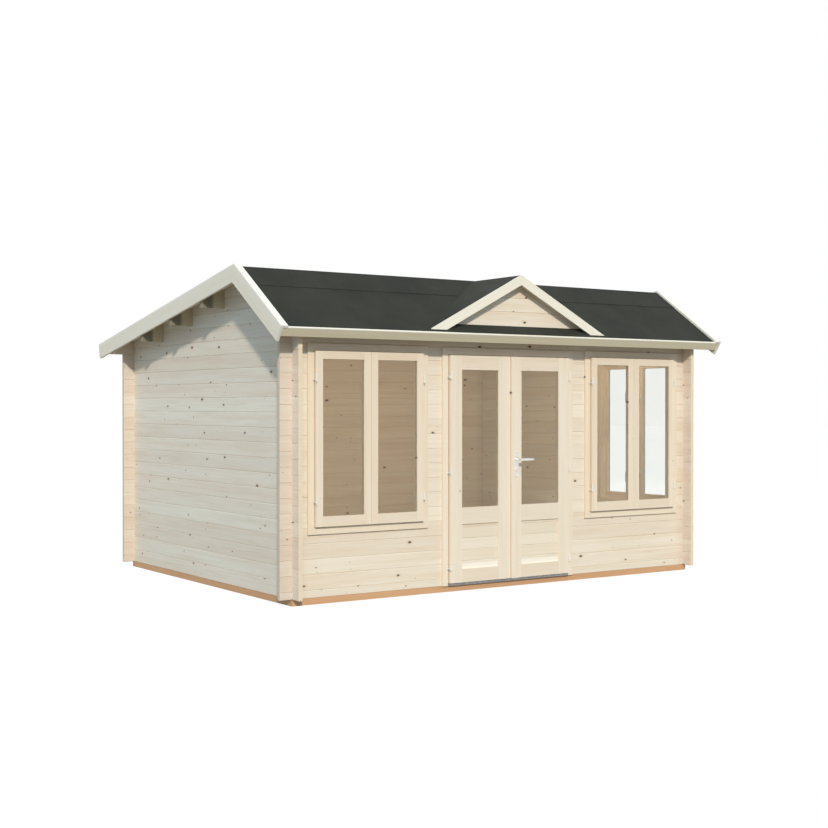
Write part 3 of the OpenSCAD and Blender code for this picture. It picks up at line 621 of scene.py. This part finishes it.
def row_tree():
    """Geometry Nodes: repeats the piece it is given along a line."""
    tree = bpy.data.node_groups.new("repeat_in_a_row", "GeometryNodeTree")
    for label, kind in (("Piece", "NodeSocketGeometry"), ("Count", "NodeSocketInt"),
                        ("Step", "NodeSocketVector"), ("Finish", "NodeSocketMaterial")):
        tree.interface.new_socket(name=label, in_out="INPUT", socket_type=kind)
    tree.interface.new_socket(name="Row", in_out="OUTPUT", socket_type="NodeSocketGeometry")
    add = tree.nodes.new
    given, made = add("NodeGroupInput"), add("NodeGroupOutput")
    line, copies = add("GeometryNodeMeshLine"), add("GeometryNodeInstanceOnPoints")
    real, dress = add("GeometryNodeRealizeInstances"), add("GeometryNodeSetMaterial")
    line.mode = "OFFSET"
    for a, b in ((given.outputs["Count"], line.inputs["Count"]),
                 (given.outputs["Step"], line.inputs["Offset"]),
                 (line.outputs[0], copies.inputs["Points"]),
                 (given.outputs["Piece"], copies.inputs["Instance"]),
                 (copies.outputs[0], real.inputs[0]),
                 (real.outputs[0], dress.inputs["Geometry"]),
                 (given.outputs["Finish"], dress.inputs["Material"]),
                 (dress.outputs[0], made.inputs[0])):
        tree.links.new(a, b)
    return tree


ROW = row_tree()


def row_of(name, mesh, count, step, finish):
    """A plain mesh of count copies of a mesh, a step apart."""
    source = bpy.data.objects.new(name + "_source", mesh)
    scene.collection.objects.link(source)
    repeat = source.modifiers.new("row", "NODES")
    repeat.node_group = ROW
    values = {"Count": count, "Step": step, "Finish": finish}
    for item in ROW.interface.items_tree:
        if item.item_type == "SOCKET" and item.in_out == "INPUT" and item.name in values:
            repeat[item.identifier] = values[item.name]
    source.update_tag()
    bpy.context.view_layer.update()
    depsgraph = bpy.context.evaluated_depsgraph_get()
    made = bpy.data.meshes.new_from_object(source.evaluated_get(depsgraph))
    bpy.data.objects.remove(source)
    return made


def joined(name, meshes):
    """One mesh from several."""
    shell = bmesh.new()
    for mesh in meshes:
        shell.from_mesh(mesh)
    made = bpy.data.meshes.new(name)
    shell.to_mesh(made)
    shell.free()
    return made


def slope_pt(front, s, n):
    """Place in Y and Z, s down a slope from the ridge and n above it."""
    pitch, way = (FRONT_PITCH, -1) if front else (REAR_PITCH, 1)
    return (RIDGE_Y + way * (s * math.cos(pitch) + n * math.sin(pitch)),
            RIDGE_Z - s * math.sin(pitch) + n * math.cos(pitch))


def ridge_pt(front, n):
    """Place in Y and Z where a layer n above the slopes stops, half a fit before the ridge."""
    pitch, way = (FRONT_PITCH, -1) if front else (REAR_PITCH, 1)
    gap = FIT / 2
    rise = n / math.cos(REAR_PITCH) - n * RIDGE_SHIFT * math.tan(REAR_PITCH)
    return (RIDGE_Y + n * RIDGE_SHIFT + way * gap * math.cos(pitch),
            RIDGE_Z + rise - gap * math.sin(pitch))


def board_profile(width, thick, bevel, both=False):
    """Section of a board from 0 to width, bevelled on its face and, if asked, on its back."""
    face = [(bevel, 0.0), (width - bevel, 0.0), (width, bevel)]
    back = [(width, thick), (0.0, thick)]
    if both:
        back = [(width, thick - bevel), (width - bevel, thick),
                (bevel, thick), (0.0, thick - bevel)]
    return face + back + [(0.0, bevel)]


# Roof boards run from the ridge to the eaves, with a bevelled joint on their underside
section = board_profile(DECK_STEP - DECK_GAP, DECK_T, DECK_BEVEL)
deck_rows = []
for front, s_end in ((True, S_FRONT), (False, S_REAR)):
    near = [(-DECK_X + w, *ridge_pt(front, n)) for w, n in section]
    end = [(-DECK_X + w, *slope_pt(front, s_end - FASCIA_CUT, n)) for w, n in section]
    board = mesh_of("roof_board", [prism((near, end))])
    deck_rows.append(row_of("roof_boards", board, DECK_COUNT, (DECK_STEP, 0, 0), deck_wood))
piece("roof_boards", joined("roof_boards", deck_rows), deck_wood, "cabin", "boards", ["roof_deck"])

# The front eaves board ends flush with the felt, with a pale lath along its top edge
EAVES_IN, EAVES_T, EAVES_W, EAVES_BEVEL = 0.004, 0.020, 0.072, 0.002
EAVES_LATH, EAVES_PROUD = 0.006, 0.001
eaves_face = S_FRONT - EAVES_IN
eaves_back = eaves_face - EAVES_T
eaves_low, lath_low, lath_top = FELT_TOP - EAVES_W, FELT_TOP - EAVES_LATH, FELT_TOP + EAVES_PROUD
board_section = [(eaves_back, eaves_low), (eaves_face - EAVES_BEVEL, eaves_low),
                 (eaves_face, eaves_low + EAVES_BEVEL), (eaves_face, lath_low - FIT),
                 (eaves_back, lath_low - FIT)]
lath_section = [(eaves_back, lath_low), (eaves_face, lath_low),
                (eaves_face, lath_top), (eaves_back, lath_top)]
for name, wood, section, stands_for in (
        ("eaves_board", fascia_wood, board_section, ["front_fascia"]),
        ("eaves_lath", lath_wood, lath_section, ())):
    built(name, [bar(-DECK_X, DECK_X, [slope_pt(True, s, n) for s, n in section])],
          wood, "cabin", "joinery", stands_for)

# Floor boards run along the front
section = [(floor_low.y + w, floor_high.z - d) for w, d in
           board_profile(floor_step - FLOOR_GAP, floor_high.z - floor_low.z, FLOOR_BEVEL)]
board = mesh_of("floor_board", [bar(floor_low.x, floor_high.x, section)])
piece("floor_boards", row_of("floor_boards", board, FLOOR_COUNT, (0, floor_step, 0), floor_wood),
      floor_wood, "cabin", "boards", ["floor"])

# Boards of the false gable follow its slopes and stand on the felt
front_y, back_y = gable_low.y, gable_high.y
felt_rise = (back_y - front_y) * math.tan(FRONT_PITCH)
gable_parts = []
z = gable_low.z
while z < gable_high.z - GABLE_LEAST:
    top = min(z + GABLE_BOARD, gable_high.z - GABLE_GAP)
    if z == gable_low.z:
        foot, edge = [(front_y, z), (back_y, z + felt_rise)], []
    else:
        foot = [(front_y + GABLE_BEVEL, z + FIT), (back_y, z + FIT)]
        edge = [(front_y, z + GABLE_BEVEL)]
    head = [(back_y, top), (front_y + GABLE_BEVEL, top), (front_y, top - GABLE_BEVEL)]
    gable_parts.append(prism([
        [(side * max(gable_high.z - pz, 0.0) / math.tan(DORMER_PITCH), py, pz)
         for py, pz in foot + head + edge] for side in (-1, 1)]))
    z = top
built("false_gable_boards", gable_parts, dormer_wood, "cabin", "logs", ["dormer_gable"])

# Door panels of level boards
for key in LEAVES:
    low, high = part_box(key + "_door_panel")
    joints = [low.z + PANEL_FIRST + i * PANEL_BOARD for i in range(PANEL_JOINTS)]
    boards = []
    for z0, z1 in zip([low.z] + joints, joints + [high.z]):
        profile = board_profile(z1 - z0 - PANEL_GAP, high.y - low.y, PANEL_BEVEL, True)
        boards.append(bar(low.x, high.x, [(low.y + d, z0 + w) for w, d in profile]))
    built(key + "_panel_boards", boards, level_wood, key + "_door", "joinery",
          [key + "_door_panel"])

# Beads hold the panes and the panels. Sections are shares of a bead's width and depth, and of a
# foot moulding's depth and height.
BEAD_SECTION = [(0.0, 0.04), (0.22, 0.06), (1.0, 0.72), (1.0, 1.0), (0.0, 1.0)]
FOOT_SECTION = [(0.06, 0.0), (0.66, 0.34), (0.94, 1.0), (1.0, 1.0), (1.0, 0.0)]
WINDOW_BEAD, DOOR_BEAD, PANEL_BEAD, PANEL_FOOT = 0.003, 0.003, 0.006, 0.042


def bead(x0, x1, z0, z1, face, back, wide, spot):
    """A mitred ring of bevelled bead inside an opening, from the face of its frame to the pane."""
    corners = ((x0, z0, 1, 1), (x1, z0, -1, 1), (x1, z1, -1, -1), (x0, z1, 1, -1))
    verts = [spot(cx + sx * a * wide, face + b * (back - face), cz + sz * a * wide)
             for cx, cz, sx, sz in corners for a, b in BEAD_SECTION]
    n = len(BEAD_SECTION)
    faces = []
    for c in range(4):
        d = (c + 1) % 4
        for i in range(n):
            j = (i + 1) % n
            faces.append((c * n + i, c * n + j, d * n + j, d * n + i))
    return verts, faces


def at_front(cx):
    return lambda x, y, z: (cx + x, -HALF_D + y, z)


def at_side(x, y, z):
    return (HALF_W - y, SIDE_WINDOW_Y + x, z)


for key, spot in (("left", at_front(-WINDOW_X)), ("right", at_front(WINDOW_X)),
                  ("side", at_side)):
    rings = []
    mid = GLASS_IN - FIT - LEAF_T
    for x0 in (-SASH_MEET / 2 - SASH_W, SASH_MEET / 2):
        for face, back in ((-FIT - LEAF_T, mid - GLASS_T / 2 - FIT),
                           (-FIT, mid + GLASS_T / 2 + FIT)):
            rings.append(bead(x0 + SASH_STILE, x0 + SASH_W - SASH_STILE, SASH_Z + SASH_FOOT,
                              SASH_TOP - SASH_STILE, face, back, WINDOW_BEAD, spot))
    built(key + "_window_beads", rings, window_woods[key][1], "cabin", "joinery")

spot = at_front(0.0)
for key, (a, b) in LEAVES.items():
    rings, feet = [], []
    x0, x1 = a + LEAF_STILE, b - LEAF_STILE
    for filling, mid, thick, wide in (("glass", GLASS_IN - LEAF_T, GLASS_T, DOOR_BEAD),
                                      ("panel", -LEAF_T / 2, PANEL_T, PANEL_BEAD)):
        low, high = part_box(f"{key}_door_{filling}")
        z0, z1 = low.z + GROOVE, high.z - GROOVE
        for face, back in ((-LEAF_T, mid - thick / 2 - FIT), (0.0, mid + thick / 2 + FIT)):
            rings.append(bead(x0, x1, z0, z1, face, back, wide, spot))
            if filling == "panel":
                feet.append(prism([[spot(x, face + d * (back - face), z0 + h * PANEL_FOOT)
                                    for d, h in FOOT_SECTION] for x in (x0 + wide, x1 - wide)]))
    built(key + "_door_beads", rings, leaf_woods[key], key + "_door", "joinery")
    built(key + "_panel_feet", feet, foot_highlight_wood, key + "_door", "joinery")

# A lath on the left leaf's edge narrows the gap to the right leaf
LATH_W, LATH_T, LATH_IN, LATH_ROUND = 0.0075, 0.016, 0.0012, 0.002
LATH_SUNK, LATH_SHORT, ROUND_SHARE = 0.0005, 0.001, 0.3
leaf_low, leaf_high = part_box("left_door_leaf")
section = [(-LATH_SUNK, 0.0), (LATH_W - LATH_ROUND, 0.0),
           (LATH_W - ROUND_SHARE * LATH_ROUND, ROUND_SHARE * LATH_ROUND),
           (LATH_W, LATH_ROUND), (LATH_W, LATH_T), (-LATH_SUNK, LATH_T)]
built("closing_lath", [prism([[(leaf_high.x + x, leaf_low.y + LATH_IN + y, z) for x, y in section]
                              for z in (leaf_low.z + LATH_SHORT, leaf_high.z - LATH_SHORT)])],
      upright_wood, "left_door", "joinery")


# Lock cylinders and screws on the handle plates
def turned(centre, way, profile, sides=20):
    """A turned shape on an axis along Y: a profile of radius and height, closed at both ends."""
    cx, cy, cz = centre
    angles = [2 * math.pi * i / sides for i in range(sides)]
    verts = [(cx + r * math.cos(angle), cy + way * h, cz + r * math.sin(angle))
             for r, h in profile for angle in angles]
    faces = [tuple(range(sides)), tuple(range(len(verts) - sides, len(verts)))]
    for k in range(0, len(verts) - sides, sides):
        for i in range(sides):
            j = (i + 1) % sides
            faces.append((k + i, k + j, k + sides + j, k + sides + i))
    return verts, faces


def cylinder_outline(radius, tail_w, tail_h):
    """Outline of a lock cylinder's end: a circle over a narrow tail."""
    round_steps, tail_steps = 20, 6
    start = math.asin(tail_w / radius)
    points = []
    for i in range(round_steps + 1):
        angle = -math.pi / 2 + start + i * (2 * math.pi - 2 * start) / round_steps
        points.append((radius * math.cos(angle), radius * math.sin(angle)))
    for i in range(tail_steps + 1):
        angle = math.pi + i * math.pi / tail_steps
        points.append((tail_w * math.cos(angle), -tail_h + tail_w * math.sin(angle)))
    return points


def on_plate(outline, face_y, way, near, far):
    """An outline around the lock's middle, drawn out from near to far off the plate's face."""
    return prism([[(LEVER_X + px, face_y + way * h, LOCK_Z + pz) for px, pz in outline]
                  for h in (near, far)])


LOCK_Z = 0.955
LOCK_OUTLINE, LOCK_REACH = cylinder_outline(0.0085, 0.005, 0.0165), (-0.001, 0.0025)
KEYWAY = [(-0.0011, -0.0055), (0.0011, -0.0055), (0.0016, 0.0), (0.0011, 0.0055),
          (-0.0011, 0.0055), (-0.0005, 0.001)]
KEYWAY_REACH = (0.0018, 0.0027)
SCREW = [(0.0042, -0.001), (0.0042, 0.0004), (0.0034, 0.0013), (0.0016, 0.0016), (0.0013, 0.0008)]
SCREW_EDGE = 0.011
plate_low, plate_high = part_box("door_handle_plates")
lock_parts, slot_parts, screw_parts = [], [], []
for face_y, way in ((plate_low.y, -1), (plate_high.y, 1)):
    lock_parts.append(on_plate(LOCK_OUTLINE, face_y, way, *LOCK_REACH))
    slot_parts.append(on_plate(KEYWAY, face_y, way, *KEYWAY_REACH))
    for screw_z in (plate_low.z + SCREW_EDGE, plate_high.z - SCREW_EDGE):
        screw_parts.append(turned((LEVER_X, face_y, screw_z), way, SCREW))
built("lock_cylinders", lock_parts, satin_metal, "right_door", "handle_metal")
# The keyways are dark inserts drawn out from the lock's face: painted shade for the hollow slot
built("lock_keyways", slot_parts, dark_slot, "right_door", "handle_metal")
built("plate_screws", screw_parts, satin_metal, "right_door", "handle_metal")

# Ribs on the threshold
RIB_FIRST, RIB_STEP, RIB_COUNT, RIB_SHORT = 0.007, 0.0085, 5, 0.002
RIB_SECTION = [(0.0, -0.0004), (0.0032, -0.0004), (0.0026, 0.0014), (0.0006, 0.0014)]
sill_low, sill_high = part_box("door_threshold")
rib = mesh_of("threshold_rib", [bar(
    sill_low.x + RIB_SHORT, sill_high.x - RIB_SHORT,
    [(sill_low.y + RIB_FIRST + y, sill_high.z + h) for y, h in RIB_SECTION])])
piece("threshold_ribs", row_of("threshold_ribs", rib, RIB_COUNT, (0, RIB_STEP, 0), mill_metal),
      mill_metal, "cabin", "threshold_metal")

# Nails through the barge boards of the false gable
NAIL = [(0.0038, -0.0006), (0.0038, 0.0004), (0.0026, 0.0011), (0.0009, 0.0014)]
NAIL_SPOTS, NAIL_DROP, NAIL_SIDES = (0.24, 0.675), 0.03, 10
barge_low, barge_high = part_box("dormer_barge_boards")
nails = []
for side in (-1, 1):
    for s in NAIL_SPOTS:
        spot = (side * s * math.cos(DORMER_PITCH), barge_low.y,
                barge_high.z - s * math.sin(DORMER_PITCH) - NAIL_DROP)
        nails.append(turned(spot, -1, NAIL, NAIL_SIDES))
built("gable_nails", nails, white_metal, "cabin", "hinge_metal")

# Felt laps across the rear slope: places down the slope, and the section from the lap's edge
LAP_SPOTS = (1.05, 1.9)
LAP_SECTION = [(-0.12, 0.0), (0.0, 0.0), (0.0, 0.0026), (-0.004, 0.0032), (-0.12, 0.0004)]
built("felt_laps",
      [bar(-FELT_X, FELT_X, [slope_pt(False, s + ds, FELT_TOP + n) for ds, n in LAP_SECTION])
       for s in LAP_SPOTS], felt, "cabin", "felt")


# Stage, light and camera
WHITE = (1, 1, 1, 1)
STAGE_HALF, STAGE_BOUNCE = 60, (0.26, 0.25, 0.22, 1)
STAGE_GLOW, STAGE_SHARE = 1.04, 0.86
SKY, SKY_STRENGTH = (0.68, 0.87, 1.0, 1), 0.655


def floor_finish():
    """White for the camera, and a pale grey for the light that the floor throws back."""
    material = bpy.data.materials.new("studio_floor")
    material.use_nodes = True
    material.node_tree.nodes.clear()
    net = Net(material.node_tree)
    seen = net.eye()
    matt = net.node("ShaderNodeBsdfDiffuse", {"Color": net.blend(seen, STAGE_BOUNCE, WHITE)})
    glow = net.node("ShaderNodeEmission", {"Color": WHITE, "Strength": STAGE_GLOW})
    mixed = net.node("ShaderNodeMixShader", {
        0: net.math("MULTIPLY", seen, STAGE_SHARE), 1: matt.outputs[0], 2: glow.outputs[0]})
    net.node("ShaderNodeOutputMaterial", {"Surface": mixed.outputs[0]})
    return material


floor_mesh = bpy.data.meshes.new("studio_floor")
floor_mesh.from_pydata([(sx * STAGE_HALF, sy * STAGE_HALF, 0)
                        for sx, sy in ((-1, -1), (1, -1), (1, 1), (-1, 1))], [], [(0, 1, 2, 3)])
floor_mesh.materials.append(floor_finish())
studio_floor = bpy.data.objects.new("studio_floor", floor_mesh)
scene.collection.objects.link(studio_floor)

world = bpy.data.worlds.new("studio")
scene.world = world
world.use_nodes = True
world.node_tree.nodes.clear()
net = Net(world.node_tree)
sky = net.node("ShaderNodeBackground", {"Color": SKY, "Strength": SKY_STRENGTH})
backdrop = net.node("ShaderNodeBackground", {"Color": WHITE, "Strength": 1.0})
mixed = net.node("ShaderNodeMixShader", {0: net.eye(), 1: sky.outputs[0], 2: backdrop.outputs[0]})
net.node("ShaderNodeOutputWorld", {"Surface": mixed.outputs[0]})


def lamp(name, kind, spot, target, energy, color, **settings):
    """A lamp at a spot, aimed at a target."""
    data = bpy.data.lights.new(name, kind)
    for key, value in dict(settings, energy=energy, color=color).items():
        setattr(data, key, value)
    made = bpy.data.objects.new(name, data)
    made.location = spot
    made.rotation_euler = (Vector(target) - made.location).to_track_quat("-Z", "Y").to_euler()
    scene.collection.objects.link(made)
    return made


SUN_SIDE, SUN_RISE, SUN_FAR = math.radians(27), math.radians(29.7), 20
sun_from = Vector((-math.sin(SUN_SIDE) * math.cos(SUN_RISE),
                   -math.cos(SUN_SIDE) * math.cos(SUN_RISE), math.sin(SUN_RISE)))
lamp("key_sun", "SUN", sun_from * SUN_FAR, (0, 0, 0), energy=2.53, color=(1.0, 0.94, 0.84),
     angle=math.radians(3.0))
lamp("rear_fill", "AREA", (9, 9, 7), (0, 0, 1), energy=560, color=(1.0, 0.93, 0.82), size=7)
room = lamp("room_fill", "AREA", (0, -1.3, 1.93), (0, 1.4, 1.1), energy=18.6,
            color=(1.0, 0.90, 0.675), shape="RECTANGLE", size=3.4, size_y=0.3)
room.visible_camera = room.visible_glossy = room.visible_transmission = False

# The camera that the photo's edges give
CAMERA_SPOT = Vector((-6.7632, -10.1678, 1.4689))
CAMERA_YAW, CAMERA_PITCH = math.radians(33.96), math.radians(-0.37)
SENSOR_W, LENS, VIEW_END = 36, 58.76, 200
camera_data = bpy.data.cameras.new("camera")
camera_data.sensor_width = SENSOR_W
camera_data.lens = LENS
camera_data.clip_end = VIEW_END
camera = bpy.data.objects.new("camera", camera_data)
camera.location = CAMERA_SPOT
camera.rotation_euler = (math.pi / 2 + CAMERA_PITCH, 0, -CAMERA_YAW)
scene.collection.objects.link(camera)
scene.camera = camera
scene.view_settings.view_transform = "Standard"
